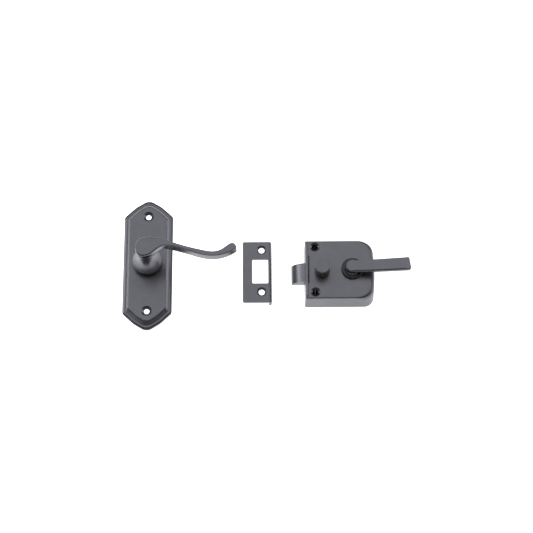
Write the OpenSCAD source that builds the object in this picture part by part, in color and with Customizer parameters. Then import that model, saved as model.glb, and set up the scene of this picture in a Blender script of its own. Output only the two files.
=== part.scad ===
// Surface-mounted latch set for a light door, laid out as a kit on its back.
// Three groups lie side by side along X: the outside lever on its long plate,
// the strike, and the latch case with its inside lever, button and bolt.
// Z = 0 is the surface that the backs rest on; +Z is the side away from the door.

/* [Layout] */
// Length of the whole kit along X
kit_length = 263; // [258:0.2:270]
// Y of the latch case and inside lever axis
case_y = -13.1; // [-16:0.1:-10]
// Y of the strike plate's centre
strike_y = -10.2; // [-13:0.1:-7]
// X of the strike plate's centre
strike_x = -7.65; // [-10:0.05:-6]

/* [Outside plate] */
// Length between the two pointed ends
plate_length = 127; // [120:1:134]
// Width across the straight sides
plate_width = 45.5; // [43:0.5:48]
// Half of the length of the straight sides
plate_shoulder_y = 47; // [45:0.5:49]
// Height of the raised panel above the back
plate_height = 7; // [6.6:0.1:8]
// Height of the outer rim
plate_rim_height = 2.2; // [1.8:0.1:2.6]
// Distance between the two screw holes
plate_screw_spacing = 93; // [90:0.5:95]
// Diameter of the plate's screw holes
plate_screw_d = 5; // [4.5:0.1:5.5]

/* [Outside lever] */
// Top of the lever's pad above the surface
lever_top_z = 47; // [46:0.5:49]
// Height of the lever's arm axis above the surface
arm_z = 42; // [41:0.5:43]
// Half width of the arm
arm_r = 3.2; // [2.8:0.1:3.4]
// Radius of the bell's rim
bell_r = 13.7; // [13:0.1:14.5]
// Radius of the neck
neck_r = 6; // [5.8:0.1:6.4]

/* [Strike] */
// Height of the strike plate along Y
strike_height = 59.2; // [57:0.2:62]
// Width of the strike plate along X
strike_width = 26.8; // [26:0.1:28]
// Thickness of the strike plate
strike_t = 2.5; // [2:0.1:2.8]
// Depth of the folded lip from the front face to its edge
strike_depth = 8.9; // [8:0.1:10]
// Distance between the strike's screw holes
strike_screw_spacing = 41; // [39:0.5:42]
// Diameter of the strike's screw holes
strike_screw_d = 5.6; // [5:0.1:6]
// Size of the bolt opening along X
strike_hole_w = 14.6; // [14:0.1:15]
// Size of the bolt opening along Y
strike_hole_h = 23.6; // [22:0.1:24]

/* [Latch case] */
// Distance from the lever axis to the case edge beside the bolt
case_left = 43.05; // [42.85:0.05:43.5]
// Distance from the lever axis to the opposite edge
case_right = 21.5; // [21.3:0.1:22]
// Height of the case along Y
case_height = 58; // [57.6:0.2:59]
// Depth of the case
case_depth = 22; // [22:0.2:23]
// Thickness of the case walls
case_wall = 2.5; // [2.3:0.1:2.6]
// Diameter of the case's screw holes
case_screw_d = 5.5; // [5:0.1:5.6]
// Distance between the two screw holes beside the bolt
case_screw_spacing = 44; // [43:0.5:44]

/* [Inside lever] */
// Length of the lever from its axis to its tip
bar_reach = 52.6; // [50:0.2:54]
// Width of the lever bar at its tip
bar_width = 12.2; // [11.8:0.1:12.4]
// Thickness of the lever bar
bar_t = 4.2; // [3.8:0.1:4.6]
// Rise of the bar from the hub to the tip
bar_rise = 4.5; // [3:0.5:6]
// Diameter of the fixed collar round the lever
collar_d = 20; // [18:0.2:20.4]

/* [Bolt] */
// Height of the bolt along Y
bolt_height = 18; // [17:0.1:18]
// Thickness of the bolt along Z
bolt_t = 9.5; // [9:0.1:9.5]
// How far the bolt stands out of the case
bolt_out = 12.3; // [11.8:0.1:12.4]

/* [Button] */
// Diameter of the push button
button_d = 13.2; // [13:0.1:13.4]
// Height of the button above the case face
button_out = 14; // [12:0.1:14.5]
// Travel of the button
button_travel = 2.6; // [2:0.1:2.6]

/* [Spindle] */
// Width across the flats of the square spindle
spindle_w = 6.35; // [6:0.05:6.4]

/* [Hidden] */
$fn = 64;

// Small overlap that keeps cuts clean
eps = 0.5;
// Thickness of the slices that a blended outline is hulled from
slice = 0.2;
// Depth by which joined pieces of one solid run into each other
bite = 0.02;
// Radial gap of a shaft in its bore
running_gap = 0.05;
// Clearance of a square in its socket, across the flats
socket_gap = 0.1;

outside_x = -kit_length / 2 + plate_width / 2;
hub_x = kit_length / 2 - bar_reach;

// Shared shaft sizes
journal_r = 6;
bore_r = journal_r + running_gap;
groove_r = 5.2;
socket_w = spindle_w + socket_gap;

// Outside plate
plate_floor_z = 3.5;
rose_r = 12.8;
rose_top_z = 12.6;
bell_z = 12.9;
neck_z = 32;
outside_socket_top_z = 39.1;
outside_journal_z = 1.2;

// Case, measured from the lever axis
cover_z = case_depth - case_wall;
back_t = 1.5;
lip_w = 2.2;
lip_rise = 1;
lip_end_gap = 3.3;
lip_inset = 1.4;
tube_r = 4.6;
case_screws = [[-33.9, case_screw_spacing / 2], [-33.9, -case_screw_spacing / 2], [12.9, 0]];
back_screws = [[-22, 23], [-22, -23], [6, 23], [6, -23]];
button_pos = [-27.5, -2.1];
keeper_screw_offset = 13.6;
bolt_bottom_z = 5;
bolt_top_z = bolt_bottom_z + bolt_t;
bolt_rear_x = -30;
spring_axis_z = 12;
lug_x = [-13, -10.5];
keeper_bottom_z = 14.8;
keeper_t = 0.8;
button_flange_z = 18.3;
button_flange_t = 1;

// Follower and yoke
arm_reach = 16.5;
arm_tip_r = 2.5;
arm_bottom_z = 8.6;
arm_top_z = 12.6;
yoke_bottom_z = 4;
yoke_top_z = 6.5;
yoke_gap = 0.7;

// ---------------------------------------------------------------- helpers

module at_case() translate([hub_x, case_y, 0]) children();
module at_outside() translate([outside_x, 0, 0]) children();
module at_strike() translate([strike_x, strike_y, 0]) children();

// Countersunk through hole, cut down from the face at z_face
module screw_hole(d, d_head, z_face, z_back) {
    sink = 0.8 * (d_head - d) / 2;
    translate([0, 0, z_back - eps]) cylinder(d = d, h = z_face - z_back + 2 * eps);
    translate([0, 0, z_face - sink]) cylinder(d1 = d, d2 = d_head, h = sink);
    translate([0, 0, z_face - bite]) cylinder(d = d_head, h = 3);
}

// Convex outline through corners given as [x, y, radius], counter-clockwise, each corner an arc
function unit(v) = v / norm(v);
function corner_arc(a, p, b, r, steps) =
    let (u = unit(a - p), v = unit(b - p), half = acos(u * v) / 2)
    let (c = p + unit(u + v) * r / sin(half), start = p + u * r / tan(half) - c)
    let (a0 = atan2(start[1], start[0]), sweep = 180 - 2 * half)
    [for (k = [0:steps]) c + r * [cos(a0 + sweep * k / steps), sin(a0 + sweep * k / steps)]];
function flat(p) = [p[0], p[1]];
function rounded(corners, steps = 8) = [
    for (i = [0:len(corners) - 1])
        let (n = len(corners), a = corners[(i + n - 1) % n], p = corners[i], b = corners[(i + 1) % n])
        each corner_arc(flat(a), flat(p), flat(b), p[2], steps)];
function rectangle(w, h, r) =
    [[w / 2, -h / 2, r], [w / 2, h / 2, r], [-w / 2, h / 2, r], [-w / 2, -h / 2, r]];

// Square prism across the flats w
module square_bar(w, z0, z1) translate([-w / 2, -w / 2, z0]) cube([w, w, z1 - z0]);

// Ring about Z
module ring(r_in, r_out, z0, z1) {
    difference() {
        translate([0, 0, z0]) cylinder(r = r_out, h = z1 - z0);
        translate([0, 0, z0 - eps]) cylinder(r = r_in, h = z1 - z0 + 2 * eps);
    }
}

// Open retaining ring with a gap towards +X
module circlip(r_in, r_out, z0, z1) {
    difference() {
        ring(r_in, r_out, z0, z1);
        translate([0, -1.5, z0 - eps]) cube([r_out + 1, 3, z1 - z0 + 2 * eps]);
    }
}

// Wire wound about Z: mean radius r, wire radius w, from z0 over height h
wire_sides = 8;
steps_per_turn = 14;
function coil_point(r, w, z0, h, turns, i, k) =
    let (a = 360 * i / steps_per_turn, b = 360 * k / wire_sides)
    let (z = z0 + w + (h - 2 * w) * i / (turns * steps_per_turn))
    [(r + w * cos(b)) * cos(a), (r + w * cos(b)) * sin(a), z + w * sin(b)];

module coil(r, w, z0, h, turns) {
    rings = turns * steps_per_turn;
    pts = [for (i = [0:rings], k = [0:wire_sides - 1]) coil_point(r, w, z0, h, turns, i, k)];
    sides = [for (i = [0:rings - 1], k = [0:wire_sides - 1])
        let (n = (k + 1) % wire_sides, a = i * wire_sides, b = (i + 1) * wire_sides)
        [a + k, b + k, b + n, a + n]];
    first = [for (k = [0:wire_sides - 1]) k];
    last = [for (k = [wire_sides - 1:-1:0]) rings * wire_sides + k];
    polyhedron(points = pts, faces = concat(sides, [first, last]), convexity = 6);
}

// ---------------------------------------------------------------- outside set

// Outline of the long plate, drawn in by inset: straight sides and two blunt points
module plate_outline(inset) {
    x = plate_width / 2;
    shoulder_r = 4;
    flank_r = 26;
    apex_r = 9;
    // Half of the angle between the two flanks at a point
    half_angle = 58;
    flank_x = 12.5;
    apex_y = plate_length / 2 + apex_r * (1 / sin(half_angle) - 1);
    flank_y = apex_y - flank_x / tan(half_angle);
    shoulder_y = plate_shoulder_y + 0.5;
    offset(delta = -inset) polygon(rounded([
        [0, -apex_y, apex_r], [flank_x, -flank_y, flank_r], [x, -shoulder_y, shoulder_r],
        [x, shoulder_y, shoulder_r], [flank_x, flank_y, flank_r], [0, apex_y, apex_r],
        [-flank_x, flank_y, flank_r], [-x, shoulder_y, shoulder_r],
        [-x, -shoulder_y, shoulder_r], [-flank_x, -flank_y, flank_r]], 6));
}

module plate_slice(inset, z) translate([0, 0, z]) linear_extrude(slice) plate_outline(inset);

module outside_plate() {
    recess_inset = 4.2;
    color([0.35, 0.35, 0.37]) at_outside() difference() {
        union() {
            linear_extrude(plate_rim_height) plate_outline(0);
            hull() {
                plate_slice(1.1, plate_rim_height - slice);
                plate_slice(2.6, plate_rim_height + 1.2);
            }
            hull() {
                plate_slice(3, plate_rim_height - slice);
                plate_slice(4.2, plate_height - 1.4);
                plate_slice(5.9, plate_height - slice);
            }
        }
        translate([0, 0, -eps]) linear_extrude(plate_floor_z + eps) plate_outline(recess_inset);
        translate([0, 0, -eps]) cylinder(r = bore_r, h = plate_height + 2 * eps);
        for (sy = [-1, 1])
            translate([0, sy * plate_screw_spacing / 2, 0])
                screw_hole(plate_screw_d, 9.6, plate_height, 0);
    }
}

module outside_rose() {
    color([0.33, 0.33, 0.35]) at_outside() difference() {
        union() {
            translate([0, 0, plate_height]) cylinder(r = rose_r, h = rose_top_z - plate_height - 1);
            translate([0, 0, rose_top_z - 1]) cylinder(r1 = rose_r, r2 = rose_r - 0.8, h = 1);
        }
        translate([0, 0, plate_height - eps])
            cylinder(r = bore_r, h = rose_top_z - plate_height + 2 * eps);
    }
}

// Leaf outline of the lever's pad, drawn in by inset
module pad_slice(inset, z) {
    translate([0, 0, z]) linear_extrude(slice) offset(delta = -inset) polygon(rounded([
        [-7.4, -9.8, 7.4], [8.6, -6.2, 9], [23.2, 0.6, 3.2], [22.4, 6.8, 3.2],
        [4, 10, 12], [-10.4, 8.6, 8]], 6));
}

module arm_ball(p) translate([p[0], p[1], arm_z]) scale([1, 1, 1.35]) sphere(r = p[2], $fn = 20);

module outside_lever() {
    bell_steps = 14;
    bell_power = 2.2;
    arm = [[17, 3.2, arm_r], [31, 1, arm_r], [44, -2.7, arm_r], [54, -4.9, arm_r],
           [63, -5.5, arm_r], [72, -2.6, arm_r], [79.6, 3.2, 3.6]];
    bell = [for (i = [0:bell_steps])
        let (t = i / bell_steps)
        [neck_r + (bell_r - neck_r) * pow(1 - t, bell_power), bell_z + 0.8 + (neck_z - bell_z - 0.8) * t]];
    color([0.35, 0.35, 0.37]) at_outside() difference() {
        union() {
            rotate_extrude() polygon(concat(
                [[0, outside_journal_z], [journal_r, outside_journal_z], [journal_r, bell_z], [bell_r, bell_z]],
                bell,
                [[neck_r, arm_z + 1], [0, arm_z + 1]]));
            hull() {
                pad_slice(3.4, lever_top_z - 8);
                pad_slice(0.6, arm_z);
                pad_slice(0, lever_top_z - 2.4);
                pad_slice(1.6, lever_top_z - slice);
            }
            for (i = [0:len(arm) - 2]) hull() {
                arm_ball(arm[i]);
                arm_ball(arm[i + 1]);
            }
        }
        square_bar(socket_w, 0, outside_socket_top_z);
        difference() {
            translate([0, 0, 1.85]) cylinder(r = journal_r + 1, h = 1.1);
            translate([0, 0, 1.35]) cylinder(r = groove_r, h = 2.1);
        }
        translate([0, 3, 24]) rotate([-90, 0, 0]) cylinder(r = 2, h = 8);
    }
}

module outside_lever_washer() color([0.85, 0.85, 0.8]) at_outside()
    ring(journal_r + 0.1, 9, 2.98, 3.44);

module outside_lever_circlip() color([0.3, 0.3, 0.32]) at_outside() circlip(groove_r + running_gap, 8.4, 1.9, 2.9);

module spindle() color([0.6, 0.6, 0.62]) at_outside()
    square_bar(spindle_w, outside_journal_z - 0.2, outside_socket_top_z - 0.2);

module spindle_grub_screw() {
    color([0.25, 0.25, 0.27]) at_outside() difference() {
        translate([0, spindle_w / 2 + 0.1, 24]) rotate([-90, 0, 0]) cylinder(r = 1.95, h = 3.6);
        translate([0, spindle_w / 2 + 2.2, 24]) rotate([-90, 0, 0]) cylinder(d = 2.2, h = 3, $fn = 6);
    }
}

// ---------------------------------------------------------------- strike

module strike_plate() {
    corner_r = 1.2;
    lip_t = 3;
    bend_r = 3;
    z_back = strike_depth - strike_t;
    half_w = strike_width / 2;
    hole_x = 2.7;
    screw_x = 3.95;
    // The three openings lie a little above the middle of the plate
    hole_y = 1;
    color([0.36, 0.36, 0.38]) at_strike() difference() {
        intersection() {
            // Folded section, extruded along Y
            rotate([90, 0, 0]) linear_extrude(strike_height, center = true) difference() {
                union() {
                    translate([-half_w, z_back]) square([strike_width - bend_r, strike_t]);
                    translate([half_w - lip_t, 0]) square([lip_t, strike_depth - bend_r]);
                    intersection() {
                        translate([half_w - bend_r, strike_depth - bend_r]) circle(r = bend_r);
                        translate([half_w - bend_r, strike_depth - bend_r]) square(bend_r);
                    }
                }
            }
            // Rounded plan outline
            translate([0, 0, -eps]) linear_extrude(strike_depth + 2 * eps)
                polygon(rounded(rectangle(strike_width, strike_height, corner_r)));
        }
        translate([hole_x, hole_y, z_back - eps]) linear_extrude(strike_t + 2 * eps)
            polygon(rounded(rectangle(strike_hole_w, strike_hole_h, 1.2)));
        for (sy = [-1, 1])
            translate([screw_x, hole_y + sy * strike_screw_spacing / 2, 0])
                screw_hole(strike_screw_d, 10.3, strike_depth, z_back);
    }
}

// ---------------------------------------------------------------- latch case

// Plan outline of the case, drawn in by separate amounts on its sides
module case_outline(left, side, right, corner) {
    left_r = 1.5;
    bulge = 2;
    y = case_height / 2 - side;
    x = case_right - right;
    polygon(rounded([
        [x - bulge, -y, corner], [x + 0.05, 0, 200], [x - bulge, y, corner],
        [-case_left + left, y, left_r], [-case_left + left, -y, left_r]]));
}

module case_slice(left, side, right, corner, z)
    translate([0, 0, z]) linear_extrude(slice) case_outline(left, side, right, corner);

module latch_case() {
    groove_depth = 1.8;
    groove_chord = 30;
    groove_w = 1.6;
    groove_r_cut = (pow(groove_chord / 2, 2) + pow(groove_depth, 2)) / (2 * groove_depth);
    lip_x = -case_left + lip_inset;
    color([0.4, 0.4, 0.42]) at_case() difference() {
        union() {
            difference() {
                union() {
                    hull() {
                        case_slice(0, 0, 0, 9.5, 0);
                        case_slice(1.15, 0.75, 0.8, 11.5, case_depth - 4.4);
                        case_slice(1.3, 0.85, 1.6, 12, case_depth - 2.4);
                        case_slice(1.35, 1.1, 2.8, 13, case_depth - 0.9);
                        case_slice(lip_inset, 1.6, 4.4, 14, case_depth - slice);
                    }
                    translate([lip_x, -case_height / 2 + lip_end_gap, case_depth - 2])
                        cube([lip_w, case_height - 2 * lip_end_gap, lip_rise + 2]);
                }
                translate([0, 0, back_t - bite]) linear_extrude(cover_z - back_t + bite)
                    case_outline(case_wall, case_wall, case_wall, 10);
                translate([0, 0, -eps]) linear_extrude(back_t + eps) case_outline(1.5, 1.5, 1.5, 9.5);
            }
            for (p = case_screws) translate([p[0], p[1], back_t])
                cylinder(r = tube_r, h = cover_z - back_t + eps);
            for (p = back_screws) translate([p[0], p[1], back_t])
                cylinder(r = 2.9, h = cover_z - back_t + eps);
            for (sy = [-1, 1])
                translate([button_pos[0], button_pos[1] + sy * keeper_screw_offset, keeper_bottom_z + keeper_t])
                    cylinder(r = 2.6, h = cover_z - keeper_bottom_z - keeper_t + eps);
            translate([lug_x[0], -4, 9.3]) cube([lug_x[1] - lug_x[0], 8, cover_z - 9.3 + eps]);
        }
        for (p = case_screws) translate([p[0], p[1], 0]) screw_hole(case_screw_d, 9, case_depth, 0);
        for (p = back_screws) translate([p[0], p[1], 0]) cylinder(r = 1.3, h = 9);
        for (sy = [-1, 1])
            translate([button_pos[0], button_pos[1] + sy * keeper_screw_offset, 0]) cylinder(r = 1.2, h = cover_z - 0.8);
        translate([button_pos[0], button_pos[1], cover_z - eps])
            cylinder(r = button_d / 2 + running_gap, h = case_wall + 2 * eps);
        translate([0, 0, cover_z - eps]) cylinder(r = bore_r, h = case_wall + 2 * eps);
        translate([-case_left - 1, -bolt_height / 2 - 0.15, bolt_bottom_z - 0.15])
            cube([case_wall + 2, bolt_height + 0.3, bolt_t + 0.3]);
        translate([lug_x[0] - eps, 0, spring_axis_z]) rotate([0, 90, 0])
            cylinder(r = 1.02, h = lug_x[1] - lug_x[0] + 2 * eps);
        translate([lip_x + lip_w, 0, case_depth - groove_depth + groove_r_cut]) rotate([0, 90, 0])
            cylinder(r = groove_r_cut, h = groove_w, $fn = 180);
    }
}

module case_back_plate() {
    color([0.5, 0.5, 0.52]) at_case() difference() {
        linear_extrude(back_t) case_outline(1.6, 1.6, 1.6, 9.4);
        for (p = case_screws) translate([p[0], p[1], -eps]) cylinder(d = case_screw_d, h = back_t + 2 * eps);
        for (p = back_screws) {
            translate([p[0], p[1], -eps]) cylinder(r = 1.4, h = back_t + 2 * eps);
            translate([p[0], p[1], 0]) cylinder(r1 = 2.7, r2 = 1.4, h = 1.3);
        }
        translate([0, 0, -eps]) cylinder(r = 5.5 + running_gap, h = back_t + 2 * eps);
    }
}

module back_plate_screws() {
    color([0.6, 0.6, 0.62]) at_case() for (p = back_screws) translate([p[0], p[1], 0]) difference() {
        union() {
            translate([0, 0, 0.05]) cylinder(r1 = 2.6, r2 = 1.35, h = 1.25);
            translate([0, 0, 0.05]) cylinder(r = 1.25, h = 8);
        }
        for (a = [0, 90]) rotate(a) translate([-1.3, -0.3, -eps]) cube([2.6, 0.6, 1.2]);
    }
}

module lever_collar() {
    top_z = 24.6;
    color([0.22, 0.22, 0.24]) at_case() difference() {
        union() {
            translate([0, 0, case_depth]) cylinder(d = collar_d, h = top_z - case_depth - 0.7);
            translate([0, 0, top_z - 0.7]) cylinder(d1 = collar_d, d2 = collar_d - 1.4, h = 0.7);
        }
        translate([0, 0, case_depth - eps]) cylinder(r = bore_r, h = top_z - case_depth + 2 * eps);
        translate([case_screws[2][0], case_screws[2][1], case_depth - eps]) cylinder(d = 9.4, h = 5);
    }
}

module button_collar() color([0.62, 0.52, 0.34]) at_case() translate([button_pos[0], button_pos[1], 0])
    ring(button_d / 2 + running_gap + 0.05, 7.1, case_depth, case_depth + 0.9);

module button_keeper_plate() {
    color([0.6, 0.6, 0.62]) at_case() difference() {
        translate([button_pos[0], button_pos[1], keeper_bottom_z]) linear_extrude(keeper_t) hull() {
            circle(r = 8);
            for (sy = [-1, 1]) translate([0, sy * keeper_screw_offset]) circle(r = 3);
        }
        translate([button_pos[0], button_pos[1], keeper_bottom_z - eps]) cylinder(r = 1.9, h = keeper_t + 2 * eps);
        for (sy = [-1, 1])
            translate([button_pos[0], button_pos[1] + sy * keeper_screw_offset, keeper_bottom_z - eps])
                cylinder(r = 1.2, h = keeper_t + 2 * eps);
    }
}

module keeper_screws() {
    color([0.65, 0.65, 0.67]) at_case() for (sy = [-1, 1])
        translate([button_pos[0], button_pos[1] + sy * keeper_screw_offset, 0]) {
            translate([0, 0, keeper_bottom_z - 1.3]) cylinder(r = 2, h = 1.3);
            translate([0, 0, keeper_bottom_z - bite]) cylinder(r = 1.15, h = 3.6);
        }
}

module button_spring() color([0.7, 0.7, 0.72]) at_case() translate([button_pos[0], button_pos[1], 0])
    coil(3.3, 0.35, keeper_bottom_z + keeper_t + 0.05, 13.2, 5);

module bolt_spring() color([0.7, 0.7, 0.72]) at_case()
    translate([bolt_rear_x + 0.1, 0, spring_axis_z]) rotate([0, 90, 0])
        coil(1.8, 0.3, 0, lug_x[0] - bolt_rear_x - 0.2, 9);

module spring_guide_pin() color([0.65, 0.65, 0.67]) at_case()
    translate([bolt_rear_x - 2, 0, spring_axis_z]) rotate([0, 90, 0])
        cylinder(r = 1, h = lug_x[1] - bolt_rear_x + 2);

module follower_spring() color([0.7, 0.7, 0.72]) at_case() coil(6.5, 0.4, 12.8, 4.4, 3);

module inside_lever() {
    neck_bottom_z = 24.9;
    bar_bottom_z = 28.3;
    bend_x = 12;
    back_x = -5.2;
    // Y of the bar's straight lower edge, and of its upper edge over the hub
    lower_y = -6.2;
    hub_upper_y = 5;
    tip_slant = 1.6;
    top_z = bar_bottom_z + bar_t;
    color([0.36, 0.36, 0.38]) at_case() difference() {
        union() {
            rotate_extrude() polygon([
                [0, 17.6], [journal_r, 17.6], [journal_r, neck_bottom_z], [8, neck_bottom_z],
                [8, 26.8], [6.6, bar_bottom_z + 1], [0, bar_bottom_z + 1]]);
            intersection() {
                rotate([90, 0, 0]) linear_extrude(2 * bar_width, center = true) polygon([
                    [-9, bar_bottom_z], [bend_x, bar_bottom_z], [bar_reach, bar_bottom_z + bar_rise],
                    [bar_reach, top_z + bar_rise], [bend_x, top_z], [-9, top_z]]);
                translate([0, 0, bar_bottom_z - 1]) linear_extrude(bar_t + bar_rise + 2)
                    polygon(rounded([
                        [bar_reach, lower_y, 1.8], [bar_reach - tip_slant, lower_y + bar_width, 1.6],
                        [back_x, hub_upper_y - 0.2, 3.8], [back_x, lower_y, 3.9]]));
            }
        }
        square_bar(socket_w, 17, 28.6);
        difference() {
            translate([0, 0, 18.4]) cylinder(r = journal_r + 1, h = 0.8);
            translate([0, 0, 18]) cylinder(r = groove_r, h = 1.6);
        }
        translate([0, 3, 26.6]) rotate([-90, 0, 0]) cylinder(r = 1.5, h = 8);
    }
}

module inside_lever_shank() color([0.6, 0.6, 0.62]) at_case() square_bar(spindle_w, 11, 28.5);

module inside_lever_grub_screw() {
    color([0.25, 0.25, 0.27]) at_case() difference() {
        translate([0, spindle_w / 2 + 0.1, 26.6]) rotate([-90, 0, 0]) cylinder(r = 1.45, h = 4);
        translate([0, spindle_w / 2 + 2.4, 26.6]) rotate([-90, 0, 0]) cylinder(d = 1.6, h = 3, $fn = 6);
    }
}

module inside_lever_circlip() color([0.3, 0.3, 0.32]) at_case() circlip(groove_r + running_gap, 7.8, 18.45, 19.15);

module follower() {
    hub_r = 7;
    color([0.55, 0.55, 0.5]) at_case() difference() {
        union() {
            translate([0, 0, 0.3]) cylinder(r = 5.5, h = 3);
            translate([0, 0, 2]) cylinder(r = hub_r, h = arm_top_z - 2);
            translate([0, 0, arm_top_z - bite]) cylinder(r = 5.4, h = 17.3 - arm_top_z);
            translate([0, 0, arm_bottom_z]) linear_extrude(arm_top_z - arm_bottom_z)
                for (sy = [-1, 1]) hull() {
                    circle(r = 4);
                    translate([0, sy * arm_reach]) circle(r = arm_tip_r);
                }
        }
        square_bar(socket_w, -eps, 18);
    }
}

module latch_bolt() {
    tip_x = -case_left - bolt_out;
    tail_top_z = 8.2;
    // Quarter-round nose, level with the bolt's top where it leaves the case
    nose_r = 11;
    nose_z = bolt_top_z - nose_r;
    nose_x = tip_x + sqrt(pow(nose_r, 2) - pow(bolt_bottom_z - nose_z, 2));
    color([0.42, 0.42, 0.44]) at_case() difference() {
        union() {
            rotate([90, 0, 0]) linear_extrude(bolt_height, center = true) union() {
                translate([nose_x, bolt_bottom_z]) square([bolt_rear_x - nose_x, bolt_t]);
                intersection() {
                    translate([nose_x, nose_z]) circle(r = nose_r);
                    translate([tip_x, bolt_bottom_z]) square([nose_x - tip_x + bite, bolt_t]);
                }
            }
            translate([bolt_rear_x - eps, -7, yoke_top_z]) cube([10 + eps, 14, tail_top_z - yoke_top_z]);
        }
        translate([bolt_rear_x - 14, 0, spring_axis_z]) rotate([0, 90, 0]) cylinder(r = 1.3, h = 15);
        for (sy = [-1, 1]) translate([-24.5, sy * 5, 0]) cylinder(r = 1.25, h = 12);
    }
}

module bolt_yoke() {
    prong = [9, 17.5];
    prong_w = prong[1] - prong[0];
    shoulder_x = arm_tip_r + yoke_gap;
    shoulder_t = 2.2;
    color([0.6, 0.6, 0.62]) at_case() difference() {
        union() {
            translate([-29.5, -prong[1], yoke_bottom_z]) cube([11, 2 * prong[1], yoke_top_z - yoke_bottom_z]);
            for (sy = [-1, 1]) translate([0, sy * (prong[0] + prong[1]) / 2, 0]) {
                translate([-29.5, -prong_w / 2, yoke_bottom_z])
                    cube([29.5 + shoulder_x + shoulder_t, prong_w, yoke_top_z - yoke_bottom_z]);
                translate([shoulder_x, -prong_w / 2, yoke_bottom_z])
                    cube([shoulder_t, prong_w, arm_top_z - yoke_bottom_z]);
            }
        }
        for (sy = [-1, 1]) translate([-24.5, sy * 5, 0]) cylinder(r = 1.25, h = 12);
        // Relief under the bolt head, which reaches lower than the yoke's top
        translate([-40, -bolt_height / 2, bolt_bottom_z - 0.1]) cube([40 + bolt_rear_x, bolt_height, 5]);
    }
}

module yoke_rivets() {
    color([0.7, 0.7, 0.72]) at_case() for (sy = [-1, 1]) translate([-24.5, sy * 5, 0]) {
        translate([0, 0, yoke_bottom_z]) cylinder(r = 1.22, h = 8.2 - yoke_bottom_z);
        translate([0, 0, yoke_bottom_z - 0.8]) cylinder(r = 2.2, h = 0.8);
        translate([0, 0, 8.2]) cylinder(r1 = 1.6, r2 = 1.2, h = 0.3);
    }
}

module snib_button() {
    r = button_d / 2;
    top_z = case_depth + button_out;
    round_r = 1.4;
    cup_r = 4.4;
    cup_top_z = 29;
    color([0.3, 0.3, 0.31]) at_case() translate([button_pos[0], button_pos[1], 0]) difference() {
        union() {
            rotate_extrude() union() {
                translate([0, button_flange_z]) square([r, top_z - button_flange_z - round_r]);
                translate([0, top_z - round_r - bite]) square([r - round_r, round_r + bite]);
                intersection() {
                    translate([r - round_r, top_z - round_r]) circle(r = round_r, $fn = 48);
                    translate([r - round_r, top_z - round_r - bite]) square(round_r + bite);
                }
            }
            translate([0, 0, button_flange_z]) cylinder(r = 7.8, h = button_flange_t);
        }
        translate([0, 0, button_flange_z - eps]) cylinder(r = cup_r, h = cup_top_z - button_flange_z + eps);
        translate([0, 0, cup_top_z - eps]) cylinder(r = 1.55, h = 2 + eps);
    }
}

module snib_pin() color([0.7, 0.7, 0.72]) at_case() translate([button_pos[0], button_pos[1], 0])
    translate([0, 0, 17.4]) cylinder(r = 1.5, h = 13.5);

latch_case();
case_back_plate();
back_plate_screws();
lever_collar();
button_collar();
button_keeper_plate();
keeper_screws();
button_spring();
bolt_spring();
spring_guide_pin();
follower_spring();
inside_lever();
inside_lever_shank();
inside_lever_grub_screw();
inside_lever_circlip();
follower();
latch_bolt();
bolt_yoke();
yoke_rivets();
snib_button();
snib_pin();
outside_plate();
outside_rose();
outside_lever();
outside_lever_washer();
outside_lever_circlip();
spindle();
spindle_grub_screw();
strike_plate();
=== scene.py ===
import math
import bmesh
import bpy
from mathutils import Matrix, Vector


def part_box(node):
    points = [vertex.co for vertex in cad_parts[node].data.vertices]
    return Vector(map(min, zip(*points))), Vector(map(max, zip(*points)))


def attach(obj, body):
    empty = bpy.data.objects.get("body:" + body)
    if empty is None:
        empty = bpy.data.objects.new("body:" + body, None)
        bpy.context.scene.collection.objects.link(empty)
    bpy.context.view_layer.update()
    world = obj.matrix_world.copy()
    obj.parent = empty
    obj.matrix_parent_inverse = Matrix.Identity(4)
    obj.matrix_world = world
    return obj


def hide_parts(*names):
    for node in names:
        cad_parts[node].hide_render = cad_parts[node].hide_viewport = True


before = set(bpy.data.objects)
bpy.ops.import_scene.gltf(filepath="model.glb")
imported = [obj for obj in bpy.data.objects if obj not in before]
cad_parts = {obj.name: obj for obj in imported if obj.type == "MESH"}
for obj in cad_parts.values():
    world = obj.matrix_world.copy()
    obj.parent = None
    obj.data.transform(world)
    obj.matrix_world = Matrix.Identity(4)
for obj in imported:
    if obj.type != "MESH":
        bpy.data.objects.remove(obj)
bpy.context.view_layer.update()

MM = 0.001


def centre_of(node):
    """Plan centre of a node's box, in mm."""
    lo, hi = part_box(node)
    return (lo[0] + hi[0]) / 2 / MM, (lo[1] + hi[1]) / 2 / MM


def z_range(node):
    """Lowest and highest z of a node's box, in mm."""
    lo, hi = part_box(node)
    return lo[2] / MM, hi[2] / MM


# ------------------------------------------------------------- places, in mm

PLATE_AT = centre_of("outside_plate")
HUB_AT = centre_of("inside_lever_shank")
STRIKE_AT = centre_of("strike_plate")
BUTTON_AT = centre_of("snib_pin")
case_lo, case_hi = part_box("latch_case")


def beside(at, x, y):
    """Plan position moved by x and y from at."""
    return at[0] + x, at[1] + y


# ------------------------------------------------------------- mesh helpers


def smooth(a, b, x):
    """0 below a, 1 above b, and an eased ramp between them."""
    t = min(max((x - a) / (b - a), 0.0), 1.0)
    return t * t * (3 - 2 * t)


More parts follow.
